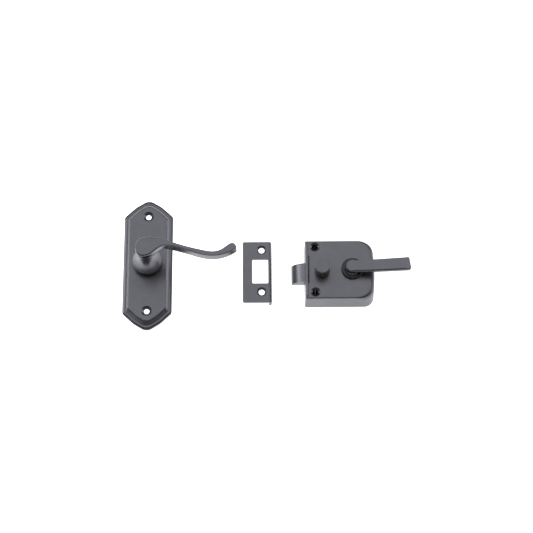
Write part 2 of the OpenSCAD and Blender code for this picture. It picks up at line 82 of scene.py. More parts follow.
def arc(a, p, b, r, steps):
    """Points of the arc of radius r that rounds the corner p between a and b."""
    a, p, b = Vector(a[:2]), Vector(p[:2]), Vector(b[:2])
    u, v = (a - p).normalized(), (b - p).normalized()
    half = u.angle(v) / 2
    middle = p + (u + v).normalized() * (r / math.sin(half))
    start = p + u * (r / math.tan(half)) - middle
    end = p + v * (r / math.tan(half)) - middle
    a0 = math.atan2(start.y, start.x)
    turn = (math.atan2(end.y, end.x) - a0 + math.pi) % (2 * math.pi) - math.pi
    return [middle + r * Vector((math.cos(a0 + turn * k / steps), math.sin(a0 + turn * k / steps)))
            for k in range(steps + 1)]


def rounded(corners, steps=8, edge_steps=3):
    """Closed outline through corners (x, y, radius), with extra points along its straight edges."""
    n = len(corners)
    arcs = [arc(corners[i - 1], corners[i], corners[(i + 1) % n], corners[i][2], steps) for i in range(n)]
    points = []
    for i in range(n):
        points += arcs[i]
        a, b = arcs[i][-1], arcs[(i + 1) % n][0]
        points += [a.lerp(b, k / (edge_steps + 1)) for k in range(1, edge_steps + 1)]
    return points


def path(corners, steps=4):
    """Open line through corners (x, y, radius); a radius of 0 keeps the corner sharp."""
    points = [Vector(corners[0][:2])]
    for a, p, b in zip(corners, corners[1:], corners[2:]):
        points += arc(a, p, b, p[2], steps) if p[2] else [Vector(p[:2])]
    return points + [Vector(corners[-1][:2])]


def inset_corners(corners, insets, shrink=1.0):
    """Counter-clockwise corners (x, y, radius) with edge i moved in by insets[i]. The radii shrink to suit,
    or by less where the inner outline is rounder than a true offset."""
    least_radius = 0.4
    n = len(corners)
    lines = []
    for i in range(n):
        a, b = Vector(corners[i][:2]), Vector(corners[(i + 1) % n][:2])
        along = (b - a).normalized()
        lines.append((a + Vector((-along.y, along.x)) * insets[i], along))
    moved = []
    for i in range(n):
        (p, u), (q, v) = lines[i - 1], lines[i]
        t = (q - p).cross(v) / u.cross(v)
        inset = (insets[i - 1] + insets[i]) / 2
        moved.append((*(p + u * t), max(corners[i][2] - inset * shrink, least_radius)))
    return moved


def rectangle(w, h, r):
    return [(w / 2, -h / 2, r), (w / 2, h / 2, r), (-w / 2, h / 2, r), (-w / 2, -h / 2, r)]


def mesh_object(name, verts, faces, at=(0, 0)):
    """New object from points in mm about the plan position at, with its normals facing out."""
    mesh = bpy.data.meshes.new(name)
    mesh.from_pydata([((v[0] + at[0]) * MM, (v[1] + at[1]) * MM, v[2] * MM) for v in verts], [], faces)
    bm = bmesh.new()
    bm.from_mesh(mesh)
    bmesh.ops.remove_doubles(bm, verts=bm.verts, dist=1e-7)
    bmesh.ops.recalc_face_normals(bm, faces=bm.faces)
    bm.to_mesh(mesh)
    bm.free()
    obj = bpy.data.objects.new(name, mesh)
    bpy.context.scene.collection.objects.link(obj)
    return obj


def ring_faces(count, size, closed=False):
    """Quads between neighbouring rings of size points each."""
    pairs = [(k, k + 1) for k in range(count - 1)] + ([(count - 1, 0)] if closed else [])
    return [(a * size + i, a * size + (i + 1) % size, b * size + (i + 1) % size, b * size + i)
            for a, b in pairs for i in range(size)]


def loft(name, rings, at=(0, 0)):
    """Closed skin through rings of equally many points, with a flat cap at each end."""
    size = len(rings[0])
    faces = ring_faces(len(rings), size)
    faces.append(tuple(range(size)))
    faces.append(tuple(range((len(rings) - 1) * size, len(rings) * size)))
    return mesh_object(name, [p for ring in rings for p in ring], faces, at)


def lathe(name, profile, at=(0, 0), steps=96, closed=False):
    """Profile of (radius, z) turned about Z. An open profile starts and ends on the axis."""
    axis_r = 1e-4
    around = [(math.cos(2 * math.pi * k / steps), math.sin(2 * math.pi * k / steps)) for k in range(steps)]
    rings = [[(max(r, axis_r) * c, max(r, axis_r) * s, z) for c, s in around] for r, z in profile]
    if closed:
        verts = [p for ring in rings for p in ring]
        return mesh_object(name, verts, ring_faces(len(rings), steps, True), at)
    return loft(name, rings, at)


def rod(name, r, z0, z1, at=(0, 0), steps=64):
    """Straight round solid, used to cut bores and to stand posts."""
    return lathe(name, [(0, z0), (r, z0), (r, z1), (0, z1)], at, steps)


def laid_over(obj, at, z, angle, axis):
    """Turns an upright solid made at the origin about axis, and moves it to at and height z."""
    place = Matrix.Translation((at[0] * MM, at[1] * MM, z * MM))
    obj.data.transform(place @ Matrix.Rotation(angle, 4, axis))
    return obj


def box_solid(name, lo, hi, at=(0, 0)):
    corners = [(x, y, z) for z in (lo[2], hi[2])
               for x, y in ((lo[0], lo[1]), (hi[0], lo[1]), (hi[0], hi[1]), (lo[0], hi[1]))]
    faces = ring_faces(2, 4) + [(3, 2, 1, 0), (4, 5, 6, 7)]
    return mesh_object(name, corners, faces, at)


def extrude_y(name, section, half_y, at=(0, 0)):
    """Section of (x, z) points drawn out along Y to both sides."""
    return loft(name, [[(p[0], y, p[1]) for p in section] for y in (-half_y, half_y)], at)


def baked(obj):
    """Applies the modifiers of obj to its mesh."""
    depsgraph = bpy.context.evaluated_depsgraph_get()
    depsgraph.update()
    mesh = bpy.data.meshes.new_from_object(obj.evaluated_get(depsgraph))
    obj.modifiers.clear()
    obj.data = mesh


def combine(obj, operation, others):
    """Joins the other solids to obj, or cuts them from it, and removes them."""
    for other in others:
        mod = obj.modifiers.new("combine", "BOOLEAN")
        mod.operation = operation
        mod.solver = "MANIFOLD"
        mod.object = other
        baked(obj)
        bpy.data.objects.remove(other)


def soften(obj, width=0.25, segments=3, angle=35):
    """Rounds the sharp edges of obj by a small bevel, in mm."""
    mod = obj.modifiers.new("bevel", "BEVEL")
    mod.width = width * MM
    mod.segments = segments
    mod.limit_method = "ANGLE"
    mod.angle_limit = math.radians(angle)
    mod.use_clamp_overlap = True
    mod.harden_normals = False
    baked(obj)


def finish_piece(obj, material, body, slot, *nodes, sharp=32):
    """Shades obj smooth up to a sharp angle, and puts it in its CAD nodes' place."""
    mesh = obj.data
    mesh.polygons.foreach_set("use_smooth", [True] * len(mesh.polygons))
    mesh.set_sharp_from_angle(angle=math.radians(sharp))
    mod = obj.modifiers.new("weighted", "WEIGHTED_NORMAL")
    mod.keep_sharp = True
    mod.weight = 60
    baked(obj)
    obj.data.materials.clear()
    obj.data.materials.append(material)
    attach(obj, body)
    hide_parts(*nodes)


def countersink(name, hole_r, head_r, face_z, back_z, at):
    """Cutter for a countersunk through hole whose rim is slightly rounded."""
    sink = 0.8 * (head_r - hole_r)
    rim = 0.35
    above = 4
    profile = path([
        (0, back_z - 1, 0), (hole_r, back_z - 1, 0), (hole_r, face_z - sink, 0.25),
        (head_r, face_z, rim), (head_r + 2.4, face_z + above, 0), (0, face_z + above, 0)])
    return lathe(name, profile, at, steps=64)


# ------------------------------------------------------------- materials


def node_material(name):
    mat = bpy.data.materials.new(name)
    mat.use_nodes = True
    nodes = mat.node_tree.nodes
    return mat, nodes, mat.node_tree.links, nodes["Principled BSDF"]


def noise(nodes, links, coords, scale, detail=4, stretch=None):
    """Noise over the object's own coordinates, stretched along an axis for a brushed look."""
    tex = nodes.new("ShaderNodeTexNoise")
    tex.inputs["Scale"].default_value = scale
    tex.inputs["Detail"].default_value = detail
    if stretch:
        mapping = nodes.new("ShaderNodeMapping")
        mapping.inputs["Scale"].default_value = stretch
        links.new(coords, mapping.inputs["Vector"])
        coords = mapping.outputs["Vector"]
    links.new(coords, tex.inputs["Vector"])
    return tex.outputs["Fac"]


def ranged(nodes, links, value, lo, hi):
    """Spreads the middle of a noise's range over lo to hi."""
    ramp = nodes.new("ShaderNodeMapRange")
    for socket, end in (("From Min", 0.3), ("From Max", 0.7), ("To Min", lo), ("To Max", hi)):
        ramp.inputs[socket].default_value = end
    links.new(value, ramp.inputs["Value"])
    return ramp.outputs["Result"]


def mixed(nodes, links, factor, a, b):
    """Colour b over a by factor. Either colour may be the output of another node."""
    mix = nodes.new("ShaderNodeMix")
    mix.data_type = "RGBA"
    links.new(factor, mix.inputs["Factor"])
    for socket, colour in (("A", a), ("B", b)):
        if isinstance(colour, tuple):
            mix.inputs[socket].default_value = (*colour, 1)
        else:
            links.new(colour, mix.inputs[socket])
    return mix.outputs["Result"]


def bumped(nodes, links, shader, heights):
    """Bump from a list of (height, distance in metres)."""
    last = None
    for height, distance in heights:
        bump = nodes.new("ShaderNodeBump")
        bump.inputs["Strength"].default_value = 1
        bump.inputs["Distance"].default_value = distance
        links.new(height, bump.inputs["Height"])
        if last:
            links.new(last, bump.inputs["Normal"])
        last = bump.outputs["Normal"]
    links.new(last, shader.inputs["Normal"])


def satin_black(name, tone=0.1, rough=(0.27, 0.36), edge_highlight=0.12, metallic=0.8, bump=1.0):
    """Satin black plate over metal: fine mottling, orange peel, and a painted highlight that brightens the
    edges to a warmer tone.
    """
    mat, nodes, links, shader = node_material(name)
    coords = nodes.new("ShaderNodeTexCoord").outputs["Object"]
    cloud = noise(nodes, links, coords, 90, 3)
    grain = noise(nodes, links, coords, 1400, 5)
    peel = noise(nodes, links, coords, 420, 2)
    base = mixed(nodes, links, ranged(nodes, links, cloud, 0, 1),
                 (tone * 0.93, tone * 0.94, tone * 1.07), (tone * 1.02, tone * 1.03, tone * 1.17))
    bevel = nodes.new("ShaderNodeBevel")
    bevel.samples = 4
    bevel.inputs["Radius"].default_value = 0.35 * MM
    geometry = nodes.new("ShaderNodeNewGeometry")
    facing = nodes.new("ShaderNodeVectorMath")
    facing.operation = "DOT_PRODUCT"
    links.new(bevel.outputs["Normal"], facing.inputs[0])
    links.new(geometry.outputs["Normal"], facing.inputs[1])
    # Painted highlight: the bevel node finds the edges, which are brightened to a warm tone below, standing
    # for glints along them
    edge = nodes.new("ShaderNodeMapRange")
    edge.inputs["From Min"].default_value = 0.995
    edge.inputs["From Max"].default_value = 0.9
    edge.inputs["To Max"].default_value = edge_highlight
    links.new(facing.outputs["Value"], edge.inputs["Value"])
    glint_mask = nodes.new("ShaderNodeMath")
    glint_mask.operation = "MULTIPLY"
    links.new(edge.outputs["Result"], glint_mask.inputs[0])
    links.new(ranged(nodes, links, peel, 0.35, 1), glint_mask.inputs[1])
    # Colour of the painted edge highlight
    glint_colour = (tone * 1.9, tone * 1.65, tone * 1.45)
    links.new(mixed(nodes, links, glint_mask.outputs["Value"], base, glint_colour), shader.inputs["Base Color"])
    links.new(ranged(nodes, links, grain, *rough), shader.inputs["Roughness"])
    shader.inputs["Metallic"].default_value = metallic
    bumped(nodes, links, shader, [(peel, 0.000018 * bump), (grain, 0.000006 * bump)])
    return mat


def bare_metal(name, colour, rough=(0.25, 0.4), stretch=(1, 1, 1), bump=0.00001):
    """Bare metal with a fine grain, brushed where stretch squeezes the grain along one axis."""
    mat, nodes, links, shader = node_material(name)
    coords = nodes.new("ShaderNodeTexCoord").outputs["Object"]
    grain = noise(nodes, links, coords, 1100, 6, stretch)
    cloud = noise(nodes, links, coords, 130, 4)
    dark = tuple(c * 0.78 for c in colour)
    patches = ranged(nodes, links, cloud, 0, 1)
    links.new(mixed(nodes, links, patches, dark, colour), shader.inputs["Base Color"])
    links.new(ranged(nodes, links, grain, *rough), shader.inputs["Roughness"])
    shader.inputs["Metallic"].default_value = 1
    bumped(nodes, links, shader, [(grain, bump)])
    return mat


def moulded_nylon(name, colour):
    """Matt moulded plastic with a fine grain."""
    mat, nodes, links, shader = node_material(name)
    coords = nodes.new("ShaderNodeTexCoord").outputs["Object"]
    cloud = noise(nodes, links, coords, 300, 4)
    grain = noise(nodes, links, coords, 2200, 3)
    dark = tuple(c * 0.88 for c in colour)
    patches = ranged(nodes, links, cloud, 0, 1)
    links.new(mixed(nodes, links, patches, dark, colour), shader.inputs["Base Color"])
    links.new(ranged(nodes, links, grain, 0.42, 0.58), shader.inputs["Roughness"])
    bumped(nodes, links, shader, [(grain, 0.000012)])
    return mat


BLACK = {
    "black_cast": satin_black("black_cast"),
    "black_plate": satin_black("black_plate"),
    "black_strike": satin_black("black_strike"),
    "black_lever": satin_black("black_lever", rough=(0.28, 0.36), metallic=0.88),
    "black_bolt": satin_black("black_bolt", tone=0.12, rough=(0.28, 0.34), bump=0.2),
    "black_collar": moulded_nylon("black_collar", (0.009, 0.009, 0.01)),
    "black_button": satin_black("black_button", tone=0.095, rough=(0.26, 0.36), edge_highlight=0.35),
}

# ------------------------------------------------------------- outside plate

BORE_R = 6.05
SOCKET_HALF = 6.45 / 2
PLATE_CORNERS = [
    (0, -65.1, 9), (12.5, -57.3, 26), (22.75, -47.5, 4), (22.75, 47.5, 4), (12.5, 57.3, 26),
    (0, 65.1, 9), (-12.5, 57.3, 26), (-22.75, 47.5, 4), (-22.75, -47.5, 4), (-12.5, -57.3, 26)]
PLATE_SIDES = {2, 7}
PLATE_TOP_Z = z_range("outside_plate")[1]


def plate_ring(inset, z, flank=1.0):
    """Outline of the long plate, drawn in by inset at its sides and by inset times flank at its points."""
    insets = [inset if i in PLATE_SIDES else inset * flank for i in range(len(PLATE_CORNERS))]
    return [(p.x, p.y, z) for p in rounded(inset_corners(PLATE_CORNERS, insets, 0.25), 10, 10)]


def make_outside_plate():
    recess_inset, recess_z = 4.2, 3.5
    # (inset, z, flank) from the recess in the back, round the rim and over the cove to the panel
    back = [(recess_inset, recess_z, 1), (recess_inset, 0, 1), (0.2, 0, 1), (0, 0.2, 1)]
    rim = [(0, 1.4, 1), (0, 2.5, 1), (0.1, 2.85, 1), (0.32, 3.08, 1), (0.62, 3.22, 1), (1.1, 3.43, 1),
           (1.6, 3.64, 1), (1.95, 3.75, 1), (2.2, 3.78, 1)]
    cove = [(2.45, 3.77, 1.02), (2.75, 3.75, 1.05), (3.1, 3.78, 1.08), (3.35, 3.98, 1.1), (3.75, 4.6, 1.12)]
    slope = [(4.3, 5.45, 1.15), (4.8, 6.2, 1.18), (5.1, 6.58, 1.2), (5.4, 6.82, 1.2), (5.75, 6.95, 1.2)]
    panel = [(6.3, PLATE_TOP_Z, 1.2), (8.5, PLATE_TOP_Z, 1.18)]
    steps = back + rim + cove + slope + panel
    plate = loft("outside_plate_cast", [plate_ring(*s) for s in steps], PLATE_AT)
    screw_y = 46.5
    screws = [beside(PLATE_AT, 0, s * screw_y) for s in (-1, 1)]
    cutters = [countersink("cutter", 2.5, 4.8, PLATE_TOP_Z, 0, at) for at in screws]
    cutters.append(rod("cutter", BORE_R, -1, 9, PLATE_AT, 96))
    combine(plate, "DIFFERENCE", cutters)
    finish_piece(plate, BLACK["black_plate"], "outside_set", "black_plate", "outside_plate")


def make_outside_rose():
    z0, z1 = z_range("outside_rose")
    r, step = 12.7, 0.9
    profile = path([(BORE_R, z0, 0), (r, z0, 0.2), (r, z1 - 1.4, 0.3), (r - step, z1 - 1.1, 0.2),
                    (r - step, z1, 0.3), (BORE_R, z1, 0)])
    rose = lathe("outside_rose_ring", profile, PLATE_AT, closed=True)
    finish_piece(rose, BLACK["black_collar"], "outside_set", "black_plate", "outside_rose")


# ------------------------------------------------------------- lever strips


def spline(points, per=12):
    """Closed smooth curve through the points (centripetal Catmull-Rom)."""
    n = len(points)
    pts = [Vector(p) for p in points]
    out = []
    for i in range(n):
        p0, p1, p2, p3 = pts[i - 1], pts[i], pts[(i + 1) % n], pts[(i + 2) % n]
        t0 = 0.0
        t1 = t0 + (p1 - p0).length ** 0.5
        t2 = t1 + (p2 - p1).length ** 0.5
        t3 = t2 + (p3 - p2).length ** 0.5
        for k in range(per):
            t = t1 + (t2 - t1) * k / per
            a1 = p0.lerp(p1, (t - t0) / (t1 - t0))
            a2 = p1.lerp(p2, (t - t1) / (t2 - t1))
            a3 = p2.lerp(p3, (t - t2) / (t3 - t2))
            b1 = a1.lerp(a2, (t - t0) / (t2 - t0))
            b2 = a2.lerp(a3, (t - t1) / (t3 - t1))
            out.append(b1.lerp(b2, (t - t1) / (t2 - t1)))
    return out


def resampled(chain, count):
    """count + 1 points along a chain, closer together where it turns."""
    turn_weight = 5.0
    weights = []
    for i in range(len(chain) - 1):
        d = chain[i + 1] - chain[i]
        before = chain[i] - chain[i - 1] if i else d
        turn = abs(before.angle(d)) if before.length > 0 and d.length > 0 else 0
        weights.append(d.length + turn_weight * turn)
    total = sum(weights)
    out, run, j = [chain[0]], 0.0, 0
    for k in range(1, count):
        goal = total * k / count
        while run + weights[j] < goal:
            run += weights[j]
            j += 1
        out.append(chain[j].lerp(chain[j + 1], (goal - run) / weights[j]))
    return out + [chain[-1]]


def halves(outline, left, tip, count):
    """Upper and lower chains of a closed outline, both from index left to index tip."""
    n = len(outline)
    upper = [outline[(left - k) % n] for k in range((left - tip) % n + 1)]
    lower = [outline[(left + k) % n] for k in range((tip - left) % n + 1)]
    return resampled(upper, count), resampled(lower, count)


def strip(name, upper, lower, levels, at):
    """Solid under a long leaf outline. Each level gives, for a point's x and half width, the inset on the
    upper side, the inset on the lower side, and z; the caps run across between the two chains."""
    count = len(upper) - 1
    loop = upper + lower[-2:0:-1]
    size = len(loop)
    normals = []
    for i in range(size):
        d = (loop[(i + 1) % size] - loop[i - 1]).normalized()
        normals.append(Vector((d.y, -d.x)))
    least = 0.05
    opposite = [lower if i <= count else upper for i in range(size)]
    halfw = [max(min((p - q).length for q in other) / 2, least) for p, other in zip(loop, opposite)]
    verts = []
    for level in levels:
        for i, p in enumerate(loop):
            inset_u, inset_l, z = level(p.x, halfw[i])
            side = 0.5 if i in (0, count) else (0.0 if i <= count else 1.0)
            inset = inset_u * (1 - side) + inset_l * side
            q = p + normals[i] * inset
            verts.append((q.x, q.y, z))
    faces = ring_faces(len(levels), size)
    for base in (0, (len(levels) - 1) * size):
        for s in range(count):
            quad = [base + s, base + s + 1, base + (size - s - 1) % size, base + (size - s) % size]
            faces.append(tuple(dict.fromkeys(quad)))
    return mesh_object(name, verts, faces, at)


def make_outside_lever():
    top_z = z_range("outside_lever")[1]
    # Leaf-shaped pad and S-curved arm, counter-clockwise from the tip
    outline_points = [
        (82.7, -0.3), (82.2, 1.6), (80.9, 3.2), (79.2, 4.0), (77.2, 3.6), (75.1, 2.3), (72.1, 0.0),
        (68.8, -2.2), (65.4, -3.5), (61.6, -4.0), (57.4, -3.7), (48.8, -1.8), (37.1, 1.3), (25.6, 5.0),
        (17.2, 7.9), (12.9, 9.0), (8.3, 9.9), (4.3, 10.3), (0, 9.9), (-3.5, 8.9), (-6.1, 6.7), (-7.6, 3.9),
        (-8, 0.2), (-7.3, -4.6), (-3.9, -8.3), (1.8, -8.3), (4.9, -7.1), (7.8, -4.9), (10.7, -2.4),
        (13.6, -0.3), (16.4, 1.1), (19, 1.7), (24.5, 1.4), (31.6, -0.5), (38.1, -2.7), (44.5, -5.2),
        (51, -7.2), (57.4, -8.3), (61.7, -8.5), (66, -8.2), (70.2, -7.3), (74.5, -5.8), (77.9, -4.3),
        (80.7, -2.4)]
    per = 12
    left = outline_points.index((-8, 0.2))
    upper, lower = halves(spline(outline_points, per), left * per, 0, 150)

    def top_at(x):
        return top_z - 0.6 * smooth(14, 30, x)

    def fillet_at(x):
        return 1.75 - 1.05 * smooth(2, 22, x)

    def fillet(angle):
        def level(x, halfw):
            f = fillet_at(x)
            inset = min(f, 0.45 * halfw) * (1 - math.cos(angle))
            return inset, inset, top_at(x) - f * (1 - math.sin(angle))
        return level

    def crown(x, halfw):
        inset = min(fillet_at(x) + 1.5 - 1.25 * smooth(20, 40, x), 0.62 * halfw)
        return inset, inset, top_at(x)

    def under(t):
        """Side of the body at fraction t of its depth below the edge."""
        def level(x, halfw):
            depth = 6.6 + 3.6 * smooth(14, 26, x)
            undercut = 3.6 * (1 - smooth(1, 7, x)) * t
            belly = smooth(16, 22, x) * (0.9 - 0.6 * smooth(34, 45, x)) * min(1.0, t / 0.6)
            closing = 0.85 * halfw * (1 - math.sqrt(1 - max(0.0, (t - 0.8) / 0.2) ** 2))
            return undercut + closing, undercut - belly + closing, top_at(x) - fillet_at(x) - depth * t
        return level

    levels = [crown] + [fillet(math.radians(90 - 15 * k)) for k in range(7)]
    levels += [under(t) for t in (0.08, 0.17, 0.27, 0.38, 0.5, 0.62, 0.73, 0.83, 0.91, 0.97, 1.0)]
    lever = strip("outside_lever_body", upper, lower, levels, PLATE_AT)

    bell_r, bell_z, neck_r, neck_z = 13.25, 12.9, 6.1, 31
    curve = [(neck_r + (bell_r - neck_r) * (1 - t) ** 2.3, bell_z + 1.1 + (neck_z - bell_z - 1.1) * t)
             for t in [k / 24 for k in range(25)]]
    flare = [(neck_r + 1.8 * k / 6 * k / 6, neck_z + 1 + 8.2 * k / 6) for k in range(7)]
    profile = [(0, 1.2), (6, 1.2), (6, 1.85), (5.2, 1.85), (5.2, 2.95), (6, 2.95), (6, bell_z),
               (bell_r - 0.5, bell_z), (bell_r - 0.15, bell_z + 0.12), (bell_r, bell_z + 0.45)]
    neck = lathe("neck", [Vector(p) for p in profile + curve + flare + [(0, neck_z + 9.2)]], PLATE_AT, 128)
    combine(lever, "UNION", [neck])
    grub = laid_over(rod("cutter", 2, 3, 11, steps=48), PLATE_AT, 24, -math.pi / 2, "X")
    half = SOCKET_HALF
    socket = box_solid("cutter", (-half, -half, 0), (half, half, 38.4), PLATE_AT)
    combine(lever, "DIFFERENCE", [socket, grub])
    finish_piece(lever, BLACK["black_lever"], "outside_lever_body", "black_lever", "outside_lever",
                 sharp=38)


# ------------------------------------------------------------- strike


def make_strike():
    lo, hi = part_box("strike_plate")
    half_w, half_h = (hi[0] - lo[0]) / 2 / MM, (hi[1] - lo[1]) / 2 / MM
    top_z, sheet, bend_r = hi[2] / MM, 2.5, 3
    back_z = top_z - sheet
    section = rounded([
        (-half_w, back_z, 0.15), (half_w - 3, back_z, 0.5), (half_w - 3, 0, 0.5), (half_w, 0, 0.5),
        (half_w, top_z, bend_r), (-half_w, top_z, 0.15)], 8, 0)
    strike = extrude_y("strike_body", section, half_h, STRIKE_AT)
    outline = [(p.x, p.y) for p in rounded(rectangle(2 * half_w, 2 * half_h, 1.4), 8, 0)]
    mask = loft("mask", [[(x, y, z) for x, y in outline] for z in (-1, top_z + 1)], STRIKE_AT)
    combine(strike, "INTERSECT", [mask])
    hole_x, hole_y, hole_w, hole_h, screw_x, screw_pitch = 2.7, 1, 14.6, 23.6, 3.95, 41
    opening_drop = 0.4
    hole = rounded(rectangle(hole_w, hole_h, 1.1), 8, 0)
    opening = [(p.x + hole_x, p.y + hole_y - opening_drop) for p in hole]
    rings = [[(x, y, z) for x, y in opening] for z in (4, top_z + 1)]
    combine(strike, "DIFFERENCE", [loft("cutter", rings, STRIKE_AT)])
    soften(strike, 0.3, 3)
    screws = [beside(STRIKE_AT, screw_x, hole_y + s * screw_pitch / 2) for s in (-1, 1)]
    combine(strike, "DIFFERENCE", [countersink("cutter", 2.8, 4.4, top_z, back_z, at) for at in screws])
    finish_piece(strike, BLACK["black_strike"], "strike_body", "black_strike", "strike_plate")


# ------------------------------------------------------------- latch case

CASE_LEFT, CASE_RIGHT, CASE_HALF, CASE_DEPTH = 43.5, 21.5, 29.0, 22.0
BOLT_HALF = 9.0
FRONT_SCREW = (12.9, 0)
CASE_SCREWS = [(-33.9, 22), (-33.9, -22), FRONT_SCREW]


def case_ring(left, side, right, z, corner=12.0):
    """Plan outline of the case about the lever's axis, drawn in by separate amounts on its sides."""
    bulge, bulge_r = 2.0, 160
    corners = [
        (CASE_RIGHT - bulge, -CASE_HALF, corner), (CASE_RIGHT, 0, bulge_r),
        (CASE_RIGHT - bulge, CASE_HALF, corner),
        (-CASE_LEFT, CASE_HALF, 1.7), (-CASE_LEFT, -CASE_HALF, 1.7)]
    moved = inset_corners(corners, [right, right, side, left, side])
    return [(p.x, p.y, z) for p in rounded(moved, 12, 14)]


def make_latch_case():
    wall, back_z, cover_z = 2.5, 1.5, CASE_DEPTH - 2.5
    crown = 0.35
    # From the cavity's ceiling over the wall's foot and up to the crowned face
    inner = [case_ring(wall, wall, wall, cover_z), case_ring(wall, wall, wall, back_z),
             case_ring(1.5, 1.5, 1.5, back_z), case_ring(1.5, 1.5, 1.5, 0),
             case_ring(0.25, 0.25, 0.25, 0, 9.5)]
    outer = [(0, 0, 0, 0.25, 9.5), (0.2, 0.15, 0.15, 4, 10), (0.4, 0.4, 0.4, 11, 11),
             (0.6, 0.65, 0.65, 16.5, 12), (0.65, 0.75, 0.85, 18, 12.6), (0.7, 0.8, 1.15, 19.2, 13.2),
             (0.75, 0.88, 1.6, 20.2, 14),
             (0.8, 1.05, 2.2, 20.9, 15), (0.85, 1.3, 3.0, 21.32, 16), (0.95, 1.7, 3.9, 21.52, 17),
             (1.1, 2.3, 5.0, 21.62, 18)]
    rings = inner + [case_ring(*o) for o in outer]
    crown_steps = 6
    for k in range(1, crown_steps + 1):
        t = k / crown_steps
        d = 2.5 + 9 * t
        rings.append(case_ring(d * 1.1, d + 0.6, d + 3.0, CASE_DEPTH - crown * (1 - t) ** 1.6, 18))
    case = loft("latch_case_cast", rings, HUB_AT)

    posts = [rod("post", 4.6, 1.5, 20.4, beside(HUB_AT, x, y), 48) for x, y in CASE_SCREWS]
    lip_x, lip_w, lip_end, lip_top = -CASE_LEFT + 1.0, 2.3, 3.3, 23.0
    lip_right, lip_y = lip_x + lip_w, CASE_HALF - lip_end
    lip_plan = rounded([(lip_right, -lip_y, 0.7), (lip_right, lip_y, 0.7), (lip_x, lip_y, 1.2),
                        (lip_x, -lip_y, 1.2)], 6, 12)
    middle = lip_x + lip_w / 2

    def lip_ring(shrink, z):
        across, along = 1 - shrink / 1.1, 1 - shrink / CASE_HALF
        return [(middle + (p.x - middle) * across, p.y * along, z) for p in lip_plan]

    lip = loft("lip", [lip_ring(0, 19.8), lip_ring(0, lip_top - 0.5), lip_ring(0.1, lip_top - 0.2),
                       lip_ring(0.28, lip_top - 0.04), lip_ring(0.5, lip_top)], HUB_AT)
    combine(case, "UNION", posts + [lip])

    groove_depth, groove_chord, groove_w = 2.1, 31.0, 1.7
    groove_r = ((groove_chord / 2) ** 2 + groove_depth ** 2) / (2 * groove_depth)
    groove = lathe("cutter", [(0, 0), (groove_r, 0), (groove_r - 0.4, groove_w), (0, groove_w)], steps=512)
    laid_over(groove, beside(HUB_AT, lip_right, 0), CASE_DEPTH - groove_depth + groove_r, math.pi / 2, "Y")
    cutters = [groove]
    for x, y in CASE_SCREWS:
        cutters.append(countersink("cutter", 2.75, 4.5, CASE_DEPTH - 0.2, 0, beside(HUB_AT, x, y)))
    cutters.append(rod("cutter", 6.65, 18, 24, BUTTON_AT))
    cutters.append(rod("cutter", BORE_R, 18, 24, HUB_AT))
    bolt_z0, bolt_z1 = z_range("latch_bolt")
    gap = 0.15
    cutters.append(box_solid("cutter", (-CASE_LEFT - 2, -BOLT_HALF - gap, bolt_z0 - gap),
                             (-CASE_LEFT + wall + 1, BOLT_HALF + gap, bolt_z1 + gap), HUB_AT))
    combine(case, "DIFFERENCE", cutters)
    finish_piece(case, BLACK["black_cast"], "case_body", "black_cast", "latch_case")


def make_lever_collar():
    z0, z1 = z_range("lever_collar")
    r, sunk = 10.0, 0.4
    profile = path([(BORE_R, z0 - sunk, 0), (r, z0 - sunk, 0), (r, z1, 0.9), (BORE_R, z1, 0)], 6)
    collar = lathe("lever_collar_ring", profile, HUB_AT, closed=True)
    notch_r = 4.7
    combine(collar, "DIFFERENCE", [rod("cutter", notch_r, z0 - 2, z1 + 2, beside(HUB_AT, *FRONT_SCREW))])
    finish_piece(collar, BLACK["black_collar"], "case_body", "black_collar", "lever_collar")


def make_button_collar(material):
    z0, z1 = z_range("button_collar")
    r_in, r_out, sunk = 6.7, 7.1, 0.3
    profile = path([(r_in, z0 - sunk, 0), (r_out, z0 - sunk, 0), (r_out, z1, 0.25), (r_in, z1, 0.1)], 4)
    profile.append(Vector((r_in, z0)))
    collar = lathe("button_collar_ring", profile, BUTTON_AT, closed=True)
    finish_piece(collar, material, "case_body", "brass_ring", "button_collar")


